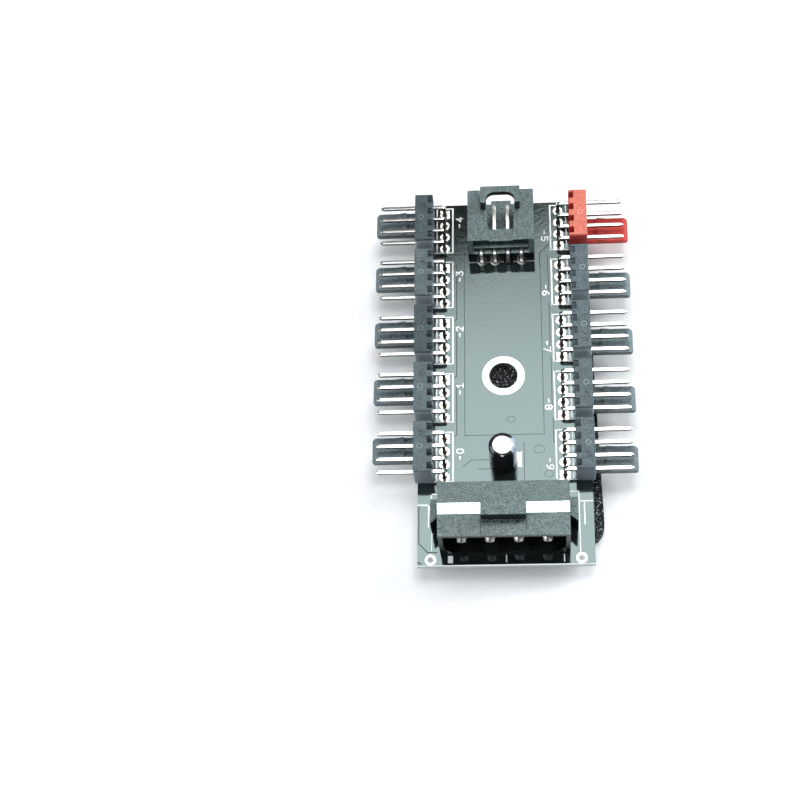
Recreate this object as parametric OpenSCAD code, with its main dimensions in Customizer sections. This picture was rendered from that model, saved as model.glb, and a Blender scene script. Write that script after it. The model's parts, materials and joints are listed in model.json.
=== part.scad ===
/* [Board] */
// Width of the board, across the two rows of fan ports
board_w = 31.8; // [30:0.1:36]
// Length of the board, from the power connector to the control header
board_l = 74.15; // [73:0.05:90]
// Thickness of the board
board_t = 1.6; // [1:0.1:2.4]
// Diameter of the mounting hole in the middle of the board
mount_d = 5.2; // [3:0.1:6]
// Width of the tinned ring round the mounting hole
mount_ring_w = 1.2; // [0.5:0.1:2.5]
// Bare laminate left between a hole and its tinned ring
ring_gap = 0.15; // [0.05:0.05:0.4]
// Distance of the two corner holes from the board's long edges
corner_side = 2.41; // [1.6:0.01:2.6]
// Distance of the two corner holes from the board's front edge
corner_front = 1; // [1:0.05:1.6]
// Diameter of the two corner holes
corner_d = 1; // [0.6:0.05:1.2]
// Width of the tinned ring round each corner hole
corner_ring_w = 0.34; // [0.2:0.02:0.4]

/* [Pads and solder] */
// Diameter or side of a pad
pad_d = 1.85; // [1.5:0.05:2.2]
// Height of a pad above the board
pad_t = 0.06; // [0.03:0.01:0.12]
// Diameter of the drilled hole for a square pin
pin_hole_d = 1.1; // [1.05:0.01:1.2]
// Thickness of the tinned plating left inside a drilled hole
plating_t = 0.07; // [0.05:0.01:0.08]
// Depth of the open dimple at the top of a filled hole
dimple = 0.5; // [0.2:0.05:0.9]
// Height of the solder cone under the board
cone_h = 0.8; // [0.4:0.05:1]
// Width of the solder cone's tip round its pin
cone_tip = 0.1; // [0.05:0.01:0.2]

/* [Header pins] */
// Side of the square pins
pin_w = 0.64; // [0.5:0.01:0.7]
// Spacing of the square pins
pin_pitch = 2.54; // [2.3:0.01:2.6]
// Length of a pin's tail below the board
tail = 1.3; // [1.1:0.05:1.6]
// Length of the taper at a pin's tip
tip_l = 0.55; // [0.3:0.05:0.9]
// Depth of the taper at each side of a pin's tip
tip_cut = 0.17; // [0.08:0.01:0.22]
// Outer radius of the bend in a pin
bend_r = 0.85; // [0.7:0.05:1.2]

/* [Fan ports] */
// Spacing of the ports along the board
port_pitch = 11.9; // [10.8:0.05:12.6]
// Distance from the board's rear edge to the middle of the first port
port_rear = 5.88; // [5.4:0.01:6.5]
// Distance from the board's long edge in to the row of pads
pad_inset = 4.92; // [4.5:0.01:5.2]
// Distance from the row of pads out to the housing
housing_gap = 2.02; // [1.6:0.01:2.4]
// Thickness of the housing's upright wall
wall_t = 3.4; // [2.8:0.05:3.8]
// Length of the housing's upright wall
wall_l = 9.9; // [9.7:0.05:10.4]
// Height of the housing's upright wall
wall_h = 6.15; // [5.2:0.05:7]
// Chamfer on the edges of a housing
edge = 0.14; // [0.05:0.01:0.25]
// Height of the pins' axis above the board
port_pin_z = 2.9; // [2.4:0.05:3.1]
// Length of the pins in front of the wall
port_pin_out = 6.9; // [6:0.05:8]
// Width of the notch over each pin at the back of the wall
notch_w = 1.35; // [1:0.05:1.6]
// Depth of the notch into the wall
notch_deep = 0.95; // [0.5:0.05:1.3]
// Clear height between a pin and its notch
notch_clear = 0.15; // [0.05:0.05:0.6]
// Length of the tongue in front of the wall
tongue_l = 7.85; // [7.4:0.05:9]
// Width of the tongue
tongue_w = 4.85; // [4:0.05:5.6]
// Thickness of the tongue
tongue_t = 1.2; // [0.9:0.05:1.5]
// Corner radius of the tongue's end
tongue_r = 0.55; // [0.4:0.05:1.5]
// Length of the slope at the tongue's end
lead_l = 0.7; // [0.3:0.05:1]
// Depth of the slope at the tongue's end
lead_cut = 0.5; // [0.2:0.05:0.7]
// Distance from the wall to the step of the catch on the tongue
catch_x = 2; // [1.5:0.05:3]
// Length of the catch's slope
catch_l = 1.7; // [1:0.05:2.5]
// Height of the catch
catch_h = 0.4; // [0.2:0.05:0.5]
// Diameter of the round mould mark on top of the wall
mark_d = 1; // [0.6:0.05:1.2]
// Depth of the round mould mark
mark_t = 0.1; // [0.05:0.01:0.2]

/* [Control header] */
// Distance from the board's rear edge in to the header's row of pads
ctrl_inset = 12.7; // [12.2:0.05:13.5]
// Width of the shroud
shroud_w = 12.6; // [12:0.05:13]
// Height of the shroud
shroud_h = 6.5; // [6.2:0.05:7.5]
// Distance from the row of pads out to the shroud's mouth
shroud_out = 12.05; // [11.5:0.05:12.5]
// Thickness of the shroud's roof
roof_t = 1; // [0.7:0.05:1.2]
// Thickness of the shroud's floor
floor_t = 1.1; // [0.8:0.05:1.3]
// Thickness of the shroud's side walls
side_t = 0.9; // [0.6:0.05:1.2]
// Distance from the row of pads out to the face that the pins leave
seat_x = 3.6; // [3:0.05:4.5]
// Height of the header's pins above the board
ctrl_pin_z = 3.42; // [3.3:0.02:3.6]
// Distance from the row of pads out to the pins' tips
ctrl_pin_out = 10.43; // [9.5:0.05:11]
// Half the width of the roof's slot at the mouth
slot_mouth = 2.8; // [2.4:0.05:3]
// Half the width of the roof's slot at the back
slot_back = 2.25; // [1.8:0.05:2.4]
// Depth of the roof's slot over the solid back
slot_deep = 0.4; // [0.2:0.05:0.7]
// Side of the triangle that marks the first pin
first_mark = 1.2; // [0.8:0.1:1.6]
// Half the width of the tongue at the mouth
lip_half = 1.9; // [1.5:0.05:2.2]
// Length of the tongue at the mouth
lip_l = 0.73; // [0.4:0.01:0.9]
// Width of the two cheeks at the back
cheek_w = 1; // [0.7:0.05:1.3]
// Distance from the row of pads to the roof's rear edge
back_top_x = 1; // [0.7:0.05:1.3]
// Distance from the row of pads out to the shroud's rear foot
back_foot_x = 0.1; // [0:0.02:0.2]
// Height of the upper ledge at the back
upper_ledge_z = 4.85; // [4.5:0.05:5.2]
// Distance from the row of pads in to the upper ledge's edge
upper_ledge_x = 0.28; // [0.2:0.02:0.4]
// Height of the lower ledge above the pins' axis
lower_ledge_z = 0.5; // [0.4:0.02:0.6]
// Distance from the row of pads out to the lower ledge's edge
lower_ledge_x = 0.5; // [0.35:0.05:0.6]
// Width of the groove round each pin's bend
groove_w = 1; // [0.8:0.05:1.2]
// Clearance behind each pin's bend in its groove
groove_fit = 0.1; // [0.05:0.05:0.2]
// Height of the pocket that clears the pads
relief = 0.2; // [0.15:0.05:0.4]

/* [Latch loop] */
// Outer width of the loop
loop_w = 7.5; // [7:0.05:8.5]
// Length of the loop along the shroud
loop_l = 3.55; // [2.9:0.05:3.9]
// Distance from the shroud's mouth back to the loop
loop_back = 0.75; // [0.5:0.05:1.5]
// Height of the loop above the roof
loop_h = 2.6; // [2:0.05:3]
// Thickness of the loop's strap
strap_t = 1.2; // [0.8:0.05:1.4]
// Width of the loop's strap along the shroud
strap_w = 1.3; // [0.9:0.05:1.6]
// Corner radius inside the loop
loop_r = 1.7; // [0.6:0.05:2]

/* [Power connector] */
// Sideways shift of the connector from the middle of the board
power_x = -0.1; // [-0.3:0.05:0.3]
// Width of the shell
shell_w = 23.2; // [22.8:0.05:24]
// Distance from the board's front edge back to the shell's mouth
shell_front = 1.97; // [1.5:0.01:2.5]
// Length of the shell
shell_l = 9.7; // [9:0.05:10.5]
// Height of the shell at the mouth
mouth_h = 9.7; // [9.4:0.05:10.2]
// Height of the shell at the back
back_h = 10.9; // [10.4:0.05:11.4]
// Length of the lower roof behind the mouth
front_roof_l = 4.1; // [3.6:0.05:4.6]
// Length of the slope between the two roofs
slope_l = 1.7; // [1:0.05:2]
// Width of the raised key on the roof
key_w = 7.9; // [7:0.05:9]
// Length of the raised key
key_l = 3.9; // [3:0.05:4.5]
// Distance from the mouth back to the raised key
key_back = 3; // [2.5:0.05:3.5]
// Height of the raised key above the back roof
key_h = 1.3; // [0.6:0.05:1.6]
// Thickness of the shell's side walls
shell_side_t = 0.8; // [0.6:0.05:1.3]
// Thickness of the shell's roof at the mouth
shell_roof_t = 0.9; // [0.7:0.05:1.2]
// Thickness of the shell's floor
shell_floor_t = 0.8; // [0.6:0.05:1.1]
// Depth of the socket
socket_deep = 7.1; // [6.5:0.05:7.3]
// Width of the socket's cut lower corners, which key the plug
socket_cut = 1.4; // [1:0.05:2.4]
// Height of the socket's cut lower corners
socket_cut_h = 2.4; // [1:0.05:2.6]
// Spacing of the round pins
power_pitch = 5.08; // [4.9:0.01:5.2]
// Diameter of the round pins
power_pin_d = 2.1; // [1.8:0.05:2.3]
// Height of the round pins' axis above the board
power_pin_z = 5; // [4.6:0.05:5.4]
// Distance of the round pins' tips behind the mouth
power_tip_in = 0.7; // [0.5:0.05:1.5]
// Length of a round pin's tapered nose
nose_l = 1; // [0.4:0.05:1.2]
// Diameter of a round pin's nose at its end
nose_d = 1.5; // [1.3:0.05:1.6]
// Diameter of the rolled hollow in a round pin
hollow_d = 0.8; // [0.5:0.05:1]
// Depth of the rolled hollow in a round pin
hollow_deep = 3; // [1:0.1:4]
// Diameter of a round pin's tail
power_tail_d = 1.3; // [1:0.05:1.4]
// Distance from the shell's back in to the tails
power_tail_in = 1.6; // [1.4:0.05:1.8]
// Clearance of a round pin in its slot at the back
slot_fit = 0.1; // [0.05:0.01:0.2]
// Width of the shell's ears
ear_w = 1.45; // [1:0.05:1.7]
// Length of the ears
ear_l = 4.5; // [3.5:0.05:5]
// Distance from the shell's back to the ears
ear_back = 1.7; // [1:0.05:2.5]
// Height of the ears' underside above the board
ear_low = 1.3; // [0.8:0.05:1.8]
// Height of the ears
ear_h = 5.6; // [4.5:0.05:6]
// Length of the slanted cut at the ears' front
ear_cut = 1.2; // [0.6:0.05:1.4]
// Width of the fine seams on the roof
seam_w = 0.16; // [0.1:0.01:0.25]
// Depth of the fine seams on the roof
seam_t = 0.1; // [0.05:0.01:0.2]

/* [Capacitor] */
// Sideways place of the capacitor
cap_x = -0.2; // [-2:0.1:2]
// Distance from the board's front edge to the capacitor's axis
cap_front = 19.9; // [18:0.1:24]
// Diameter over the sleeve
cap_d = 5; // [4.6:0.05:5.6]
// Height of the capacitor above the board
cap_h = 7.8; // [6.5:0.1:9]
// Thickness of the sleeve
sleeve_t = 0.12; // [0.08:0.01:0.2]
// Diameter of the bare disc on top
disc_d = 3.4; // [3:0.05:4.2]
// Height of the sleeve's lower edge above the board
sleeve_low = 0.3; // [0.2:0.05:0.6]
// Depth of the crimp groove
crimp = 0.22; // [0.1:0.01:0.3]
// Height of the crimp groove's middle above the board
crimp_z = 1.5; // [1.3:0.05:2]
// Length of the crimp groove
crimp_l = 0.8; // [0.5:0.05:1]
// Radius of the can's top edge
shoulder_r = 0.65; // [0.2:0.05:0.8]
// Thickness of the can's wall round the rubber bung
can_t = 0.25; // [0.15:0.01:0.35]
// Height of the rubber bung
bung_h = 1.2; // [0.9:0.05:1.6]
// Diameter of the leads
lead_d = 0.5; // [0.4:0.02:0.6]
// Spacing of the leads
lead_pitch = 2; // [1.9:0.05:2.2]
// Diameter of the drilled hole for a lead
lead_hole_d = 0.8; // [0.75:0.05:1]
// Diameter of a lead's pad
lead_pad_d = 1.5; // [1.3:0.05:1.7]

/* [Foam pad] */
// Width of the foam pad
foam_w = 31.5; // [29:0.1:32]
// Length of the foam pad
foam_l = 66; // [62:0.5:72]
// Thickness of the foam pad
foam_t = 3; // [2.4:0.1:5]
// Corner radius of the foam pad
foam_r = 3.6; // [1:0.1:6]
// Sideways offset of the pad, as it was stuck on
foam_x = 1.23; // [0:0.01:2]
// Turn of the pad in degrees, as it was stuck on
foam_turn = 1.6; // [-3:0.1:3]
// Clearance round the solder in the foam's pockets
pocket_fit = 0.4; // [0.2:0.05:0.6]

/* [Hidden] */
$fn = 48;

// Counts that the circuit fixes
ports_a_side = 5;
pins_a_port = 4;
// The port whose housing is red
red_port = 5;
// Overrun of a cut past the face that it opens
over = 0.5;

// The origin is on the mounting hole's axis, at the board's top face
front_y = -board_l / 2;
rear_y = board_l / 2;
pad_row_x = board_w / 2 - pad_inset;
first_port_y = rear_y - port_rear;
ctrl_y = rear_y - ctrl_inset;
pin_row = [for (j = [0 : pins_a_port - 1]) (j - (pins_a_port - 1) / 2) * pin_pitch];
round_row = [for (j = [0 : pins_a_port - 1]) (j - (pins_a_port - 1) / 2) * power_pitch];

// Places that follow from the shell's own sizes
mouth_y = front_y + shell_front;
shell_back_y = mouth_y + shell_l;
power_tail_y = shell_back_y - power_tail_in;
power_hole_d = power_tail_d + 2 * (plating_t + slot_fit);
power_pad_d = power_hole_d + 1;
cap_y = front_y + cap_front;

tail_end = board_t + tail;
can_r = cap_d / 2 - sleeve_t;
bung_r = can_r - can_t;
bung_top = sleeve_low + bung_h;

function port_side(n) = n < ports_a_side ? -1 : 1;
function port_step(n) = n < ports_a_side ? ports_a_side - 1 - n : n - ports_a_side;
function port_y(n) = first_port_y - port_step(n) * port_pitch;
function port_colour(n) = n == red_port ? "firebrick" : "darkslategray";

// Places a port's own frame: pads on its origin, pins pointing along +X, pin 1 at its -Y end
module at_port(n) {
    translate([port_side(n) * pad_row_x, port_y(n), 0])
        rotate([0, 0, port_side(n) > 0 ? 0 : 180]) children();
}

// Places the control header's frame: pads on its origin, pins pointing to the rear edge
module at_control() {
    translate([0, ctrl_y, 0]) rotate([0, 0, 90]) children();
}

// A rectangle with its four corners cut
module cut_rect(size, cut) {
    polygon([[cut, 0], [size.x - cut, 0], [size.x, cut], [size.x, size.y - cut],
             [size.x - cut, size.y], [cut, size.y], [0, size.y - cut], [0, cut]]);
}

// A block with all of its edges chamfered
module soft_block(size, cut) {
    intersection() {
        linear_extrude(size.z) cut_rect([size.x, size.y], cut);
        translate([0, size.y, 0]) rotate([90, 0, 0])
            linear_extrude(size.y) cut_rect([size.x, size.z], cut);
        rotate([90, 0, 90]) linear_extrude(size.x) cut_rect([size.y, size.z], cut);
    }
}

// Extrudes a profile drawn in X and Z across the width w, centred on Y
module across(w) {
    translate([0, w / 2, 0]) rotate([90, 0, 0]) linear_extrude(w) children();
}

// A rectangle whose far corners are round
module round_end(l, w, r) {
    translate([0, -w / 2]) square([l - r, w]);
    translate([0, r - w / 2]) square([l, w - 2 * r]);
    for (s = [-1, 1]) translate([l - r, s * (w / 2 - r)]) circle(r);
}

// A bar along X with a tapered end
module tapered_bar(l, w) {
    polygon([[-w, -w / 2], [l - tip_l, -w / 2], [l, tip_cut - w / 2],
             [l, w / 2 - tip_cut], [l - tip_l, w / 2], [-w, w / 2]]);
}

// A square pin that leaves along X at the height rise and bends down through the board
module bent_pin(reach, rise) {
    intersection() {
        across(pin_w) difference() {
            union() {
                intersection() {
                    translate([0, rise]) tapered_bar(reach, pin_w);
                    translate([-pin_w / 2, -tail_end]) square([reach + pin_w, tail_end + rise + pin_w]);
                }
                intersection() {
                    rotate(-90) tapered_bar(tail_end, pin_w);
                    translate([-pin_w, -tail_end]) square([2 * pin_w, tail_end + rise]);
                }
                translate([-pin_w / 2, 0]) square([pin_w, rise]);
            }
            translate([bend_r - pin_w / 2, rise + pin_w / 2 - bend_r]) difference() {
                translate([-bend_r - over, 0]) square(bend_r + over);
                circle(bend_r);
            }
        }
        translate([0, 0, -tail_end]) linear_extrude(tail_end + rise + pin_w)
            tapered_bar(reach, pin_w);
        rotate([90, 0, 90]) translate([0, 0, -pin_w]) linear_extrude(reach + 2 * pin_w)
            rotate(-90) translate([0, 0]) union() {
                tapered_bar(tail_end, pin_w);
                translate([-rise - pin_w, -pin_w / 2]) square([rise + pin_w, pin_w]);
            }
    }
}

// The straight run of a bent pin, for the hole that holds it
module pin_run(reach, rise) {
    translate([0, -pin_w / 2, rise - pin_w / 2]) cube([reach, pin_w, pin_w]);
}

// One soldered hole: tinned pad, plated wall with an open dimple, and the cone below
module joint(pad, hole, square_pad = false) {
    translate([0, 0, -board_t]) cylinder(d = hole, h = board_t);
    if (square_pad)
        translate([-pad / 2, -pad / 2, 0]) cube([pad, pad, pad_t]);
    else
        cylinder(d = pad, h = pad_t);
    translate([0, 0, -board_t - cone_h])
        cylinder(r1 = hole / 2 - plating_t + cone_tip, r2 = pad / 2, h = cone_h);
}

module dimple_cut(hole) {
    translate([0, 0, -dimple]) cylinder(d = hole - 2 * plating_t, h = dimple + pad_t + over);
}

module square_joint(square_pad) {
    difference() {
        joint(pad_d, pin_hole_d, square_pad);
        dimple_cut(pin_hole_d);
        translate([-pin_w / 2, -pin_w / 2, -tail_end]) cube([pin_w, pin_w, tail_end + pad_t + over]);
    }
}

module round_joint(pad, hole, wire) {
    difference() {
        joint(pad, hole);
        dimple_cut(hole);
        translate([0, 0, -tail_end]) cylinder(d = wire, h = tail_end + pad_t + over);
    }
}

// Every drilled place on the board
module at_corner_holes() {
    for (s = [-1, 1]) translate([s * (board_w / 2 - corner_side), front_y + corner_front, 0]) children();
}

module at_power_tails() {
    for (x = round_row) translate([power_x + x, power_tail_y, 0]) children();
}

module at_leads() {
    for (s = [-1, 1]) translate([cap_x + s * lead_pitch / 2, cap_y, 0]) children();
}

module drill(d) {
    translate([0, 0, -board_t - over]) cylinder(d = d, h = board_t + 2 * over);
}

module board() {
    color("darkslategray") difference() {
        translate([-board_w / 2, front_y, -board_t]) cube([board_w, board_l, board_t]);
        drill(mount_d);
        for (n = [0 : 2 * ports_a_side - 1]) at_port(n)
            for (y = pin_row) translate([0, y, 0]) drill(pin_hole_d);
        at_control() for (y = pin_row) translate([0, y, 0]) drill(pin_hole_d);
        at_power_tails() drill(power_hole_d);
        at_leads() drill(lead_hole_d);
        at_corner_holes() drill(corner_d);
    }
}

module tinned_ring(d, w) {
    difference() {
        cylinder(d = d + 2 * (ring_gap + w), h = pad_t);
        translate([0, 0, -over]) cylinder(d = d + 2 * ring_gap, h = pad_t + 2 * over);
    }
}

module plated_rings() {
    color("silver") {
        tinned_ring(mount_d, mount_ring_w);
        at_corner_holes() tinned_ring(corner_d, corner_ring_w);
    }
}

// The moulded housing of a fan port: upright wall, pin notches and the tongue with its catch
module tongue() {
    intersection() {
        across(tongue_w) polygon([
            [-wall_t / 2, 0], [tongue_l, 0], [tongue_l, tongue_t - lead_cut],
            [tongue_l - lead_l, tongue_t], [catch_x + catch_l, tongue_t],
            [catch_x, tongue_t + catch_h], [catch_x, tongue_t], [-wall_t / 2, tongue_t]]);
        linear_extrude(tongue_t + catch_h) union() {
            round_end(tongue_l, tongue_w, tongue_r);
            translate([-wall_t / 2, -tongue_w / 2]) square([wall_t / 2 + tongue_r, tongue_w]);
        }
    }
}

module fan_housing(n) {
    notch_low = port_pin_z + pin_w / 2 + notch_clear;
    color(port_colour(n)) at_port(n) difference() {
        union() {
            translate([housing_gap, -wall_l / 2, 0]) soft_block([wall_t, wall_l, wall_h], edge);
            translate([housing_gap + wall_t, pin_row[1], 0]) tongue();
        }
        for (y = pin_row) translate([0, y, 0]) {
            pin_run(housing_gap + wall_t + over, port_pin_z);
            translate([housing_gap - over, -notch_w / 2, notch_low])
                cube([notch_deep + over, notch_w, wall_h]);
        }
        translate([housing_gap + notch_deep + (wall_t - notch_deep) / 2, pin_row[0] + pin_pitch / 2,
                   wall_h - mark_t])
            cylinder(d = mark_d, h = mark_t + over);
    }
}

module fan_pins(n) {
    color("silver") at_port(n) for (y = pin_row) translate([0, y, 0])
        bent_pin(housing_gap + wall_t + port_pin_out, port_pin_z);
}

// The control header's shroud, drawn in its own frame
lower_z = ctrl_pin_z + lower_ledge_z;
slot_slope = (slot_mouth - slot_back) / shroud_out;
back_near_x = -lower_ledge_x - over;

module shroud_body() {
    across(shroud_w) polygon([
        [-back_foot_x, 0], [shroud_out, 0], [shroud_out, shroud_h], [back_top_x, shroud_h],
        [-lower_ledge_x, lower_z]]);
    translate([0, -lip_half, 0]) cube([shroud_out + lip_l, 2 * lip_half, floor_t]);
}

// The stepped back between the cheeks, with a groove round the bend of each pin
module stepped_back() {
    across(shroud_w - 2 * cheek_w) {
        polygon([[back_near_x, lower_z], [upper_ledge_x, lower_z], [upper_ledge_x, upper_ledge_z],
                 [back_top_x, upper_ledge_z], [back_top_x, shroud_h + over], [back_near_x, shroud_h + over]]);
        polygon([[back_near_x, -over], [seat_x - over, -over], [seat_x - over, relief],
                 [back_near_x, relief]]);
    }
    for (y = pin_row) translate([back_near_x, y - groove_w / 2, -over])
        cube([pin_w / 2 + groove_fit - back_near_x, groove_w, ctrl_pin_z + pin_w + over]);
}

// The slot of the roof at the distance x in front of the pads, half its width
function slot_half(x) = slot_back + slot_slope * x;

module slot_outline(from, to) {
    polygon([[from, -slot_half(from)], [to, -slot_half(to)], [to, slot_half(to)], [from, slot_half(from)]]);
}

module roof_slot() {
    translate([0, 0, shroud_h - slot_deep]) linear_extrude(slot_deep + over) slot_outline(0, seat_x);
    translate([0, 0, floor_t]) linear_extrude(shroud_h) slot_outline(seat_x, shroud_out + over);
}

// The triangle on the roof over the first pin
module first_pin_mark() {
    translate([shroud_out - first_mark / 2 - edge, loop_w / 2 + first_mark, shroud_h - mark_t])
        linear_extrude(mark_t + over)
            polygon([[-first_mark / 2, 0], [first_mark / 2, first_mark / 2], [first_mark / 2, -first_mark / 2]]);
}

module socket() {
    inner_w = shroud_w - 2 * side_t;
    translate([seat_x, -inner_w / 2, floor_t])
        cube([shroud_out, inner_w, shroud_h - roof_t - floor_t]);
}

module latch_loop() {
    start_x = shroud_out - loop_back - loop_l;
    leg_w = loop_w / 2 - slot_mouth;
    translate([start_x, 0, shroud_h - roof_t / 2]) {
        for (s = [-1, 1]) translate([0, s * (slot_mouth + leg_w / 2) - leg_w / 2, 0])
            cube([loop_l, leg_w, roof_t / 2 + loop_h - strap_t / 2]);
        translate([0, 0, roof_t / 2 + loop_h - strap_t]) linear_extrude(strap_t) difference() {
            translate([0, -loop_w / 2]) square([loop_l, loop_w]);
            translate([-over, 0]) round_end(loop_l - strap_w + over, 2 * slot_mouth, loop_r);
        }
    }
}

module control_shroud() {
    color("darkslategray") at_control() {
        difference() {
            shroud_body();
            stepped_back();
            roof_slot();
            socket();
            first_pin_mark();
            for (y = pin_row) translate([0, y, 0]) pin_run(seat_x + over, ctrl_pin_z);
        }
        latch_loop();
    }
}

module control_pins() {
    color("silver") at_control() for (y = pin_row) translate([0, y, 0])
        bent_pin(ctrl_pin_out, ctrl_pin_z);
}

// The power connector's shell, drawn with X across it and Y towards its back, from its mouth
module shell_block() {
    roof_end = front_roof_l + slope_l;
    rotate([90, 0, 90]) translate([0, 0, -shell_w / 2]) linear_extrude(shell_w) polygon([
        [0, 0], [shell_l, 0], [shell_l, back_h], [roof_end, back_h],
        [front_roof_l, mouth_h], [0, mouth_h]]);
    translate([-key_w / 2, key_back, mouth_h - seam_t])
        cube([key_w, key_l, back_h + key_h - mouth_h + seam_t]);
    for (s = [0, 1]) mirror([s, 0, 0]) translate([0, 0, ear_low]) linear_extrude(ear_h) polygon([
        [shell_w / 2 - over, shell_l - ear_back], [shell_w / 2 + ear_w, shell_l - ear_back],
        [shell_w / 2 + ear_w, shell_l - ear_back - ear_l],
        [shell_w / 2, shell_l - ear_back - ear_l + ear_cut],
        [shell_w / 2 - over, shell_l - ear_back - ear_l + ear_cut]]);
}

module shell_socket() {
    half_w = shell_w / 2 - shell_side_t;
    top_z = mouth_h - shell_roof_t;
    rotate([90, 0, 0]) translate([0, 0, -socket_deep]) linear_extrude(socket_deep + over) polygon([
        [socket_cut - half_w, shell_floor_t], [half_w - socket_cut, shell_floor_t],
        [half_w, shell_floor_t + socket_cut_h], [half_w, top_z], [-half_w, top_z],
        [-half_w, shell_floor_t + socket_cut_h]]);
}

// Slots at the back that the round pins and their tails are pressed into
module tail_slots() {
    wide = power_pin_d + 2 * slot_fit;
    start = shell_l - power_tail_in - power_tail_d / 2 - slot_fit;
    for (x = round_row) translate([x, 0, 0]) {
        translate([-wide / 2, start, -over]) cube([wide, shell_l, power_pin_z + over]);
        translate([0, start, power_pin_z]) rotate([-90, 0, 0]) cylinder(d = wide, h = shell_l);
        translate([0, socket_deep - over, power_pin_z]) rotate([-90, 0, 0])
            cylinder(d = power_pin_d, h = shell_l);
    }
}

module power_shell() {
    color("darkslategray") translate([power_x, mouth_y, 0]) difference() {
        shell_block();
        shell_socket();
        tail_slots();
        translate([round_row[0] - power_pad_d, shell_l - power_tail_in - power_pad_d / 2 - over, -over])
            cube([2 * (power_pad_d - round_row[0]), shell_l, over + relief]);
        for (s = [-1, 1]) translate([s * key_w / 2 - seam_w / 2, -over, mouth_h - seam_t])
            cube([seam_w, key_back + over, seam_t + over]);
    }
}

// A rolled round pin with a tapered, hollow nose, and a round tail that turns down
module power_pin() {
    straight = shell_l - power_tail_in + power_tail_d / 2 - power_tip_in - nose_l;
    translate([0, power_tip_in, power_pin_z]) rotate([-90, 0, 0]) difference() {
        union() {
            cylinder(d1 = nose_d, d2 = power_pin_d, h = nose_l);
            translate([0, 0, nose_l]) cylinder(d = power_pin_d, h = straight);
        }
        translate([0, 0, -over]) cylinder(d = hollow_d, h = hollow_deep + over);
    }
    translate([0, shell_l - power_tail_in, -tail_end])
        cylinder(d = power_tail_d, h = tail_end + power_pin_z);
}

module power_pins() {
    color("silver") translate([power_x, mouth_y, 0])
        for (x = round_row) translate([x, 0, 0]) power_pin();
}

// Outline of the can from its lower edge up to its bare top, stepped in by inset
// The round top edge is limited by the bare disc that it ends at
top_r = min(shoulder_r, can_r - disc_d / 2);

function can_outline(inset) = [
    [can_r - inset, sleeve_low],
    [can_r - inset, crimp_z - crimp_l / 2],
    [can_r - inset - crimp, crimp_z],
    [can_r - inset, crimp_z + crimp_l / 2],
    for (a = [0 : 15 : 90]) [
        can_r - top_r + (top_r - inset) * cos(a),
        cap_h - sleeve_t - top_r + (top_r - inset) * sin(a)]
];

module capacitor_can() {
    color("silver") translate([cap_x, cap_y, 0]) difference() {
        rotate_extrude() polygon(concat([[0, sleeve_low]], can_outline(0), [[0, cap_h - sleeve_t]]));
        bung_shape();
        for (s = [-1, 1]) translate([s * lead_pitch / 2, 0, 0]) cylinder(d = lead_d, h = bung_top + lead_d);
    }
}

module bung_shape() {
    translate([0, 0, pad_t]) cylinder(r = bung_r - crimp, h = bung_top - pad_t);
}

module capacitor_bung() {
    color("dimgray") translate([cap_x, cap_y, 0]) difference() {
        bung_shape();
        for (s = [-1, 1]) translate([s * lead_pitch / 2, 0, 0]) cylinder(d = lead_d, h = bung_top + lead_d);
    }
}

module capacitor_sleeve() {
    inside = can_outline(0);
    outside = can_outline(-sleeve_t);
    color("black") translate([cap_x, cap_y, 0]) rotate_extrude() polygon(concat(
        outside, [[disc_d / 2, cap_h], [disc_d / 2, cap_h - sleeve_t]],
        [for (k = [len(inside) - 1 : -1 : 0]) inside[k]]));
}

module capacitor_leads() {
    color("silver") at_leads() translate([0, 0, -tail_end])
        cylinder(d = lead_d, h = tail_end + bung_top + lead_d);
}

// The stick-on foam pad, with pockets over the pin tails
module foam_pad() {
    deep = tail + pocket_fit;
    side = pad_d / 2 + pocket_fit;
    power_side = power_pad_d / 2 + pocket_fit;
    row_end = first_port_y - (ports_a_side - 1) * port_pitch + pin_row[0];
    color("dimgray") difference() {
        translate([foam_x, 0, -board_t - foam_t]) rotate([0, 0, foam_turn]) linear_extrude(foam_t)
            union() {
                square([foam_w - 2 * foam_r, foam_l], center = true);
                square([foam_w, foam_l - 2 * foam_r], center = true);
                for (sx = [-1, 1], sy = [-1, 1])
                    translate([sx * (foam_w / 2 - foam_r), sy * (foam_l / 2 - foam_r)]) circle(foam_r);
            }
        translate([0, 0, -board_t - deep]) linear_extrude(deep + over) {
            for (s = [-1, 1]) translate([s * pad_row_x - side, row_end - side])
                square([2 * side, rear_y + foam_r - row_end + side]);
            translate([pin_row[0] - side, ctrl_y - side])
                square([2 * (side - pin_row[0]), 2 * side]);
            translate([power_x + round_row[0] - power_side, power_tail_y - power_side])
                square([2 * (power_side - round_row[0]), 2 * power_side]);
            translate([cap_x - lead_pitch / 2 - side, cap_y - side])
                square([lead_pitch + 2 * side, 2 * side]);
        }
    }
}

module solder_row(ports) {
    color("silver") for (n = ports) at_port(n) for (j = [0 : pins_a_port - 1])
        translate([0, pin_row[j], 0]) square_joint(j == 0);
}

module solder_left() { solder_row([0 : ports_a_side - 1]); }

module solder_right() { solder_row([ports_a_side : 2 * ports_a_side - 1]); }

module solder_control() {
    color("silver") at_control() for (y = pin_row) translate([0, y, 0]) square_joint(false);
}

module solder_power() {
    color("silver") at_power_tails() round_joint(power_pad_d, power_hole_d, power_tail_d);
}

module solder_capacitor() {
    color("silver") at_leads() round_joint(lead_pad_d, lead_hole_d, lead_d);
}

board();
plated_rings();
foam_pad();
for (n = [0 : 2 * ports_a_side - 1]) {
    fan_housing(n);
    fan_pins(n);
}
control_shroud();
control_pins();
power_shell();
power_pins();
capacitor_can();
capacitor_sleeve();
capacitor_bung();
capacitor_leads();
solder_left();
solder_right();
solder_control();
solder_power();
solder_capacitor();
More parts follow.
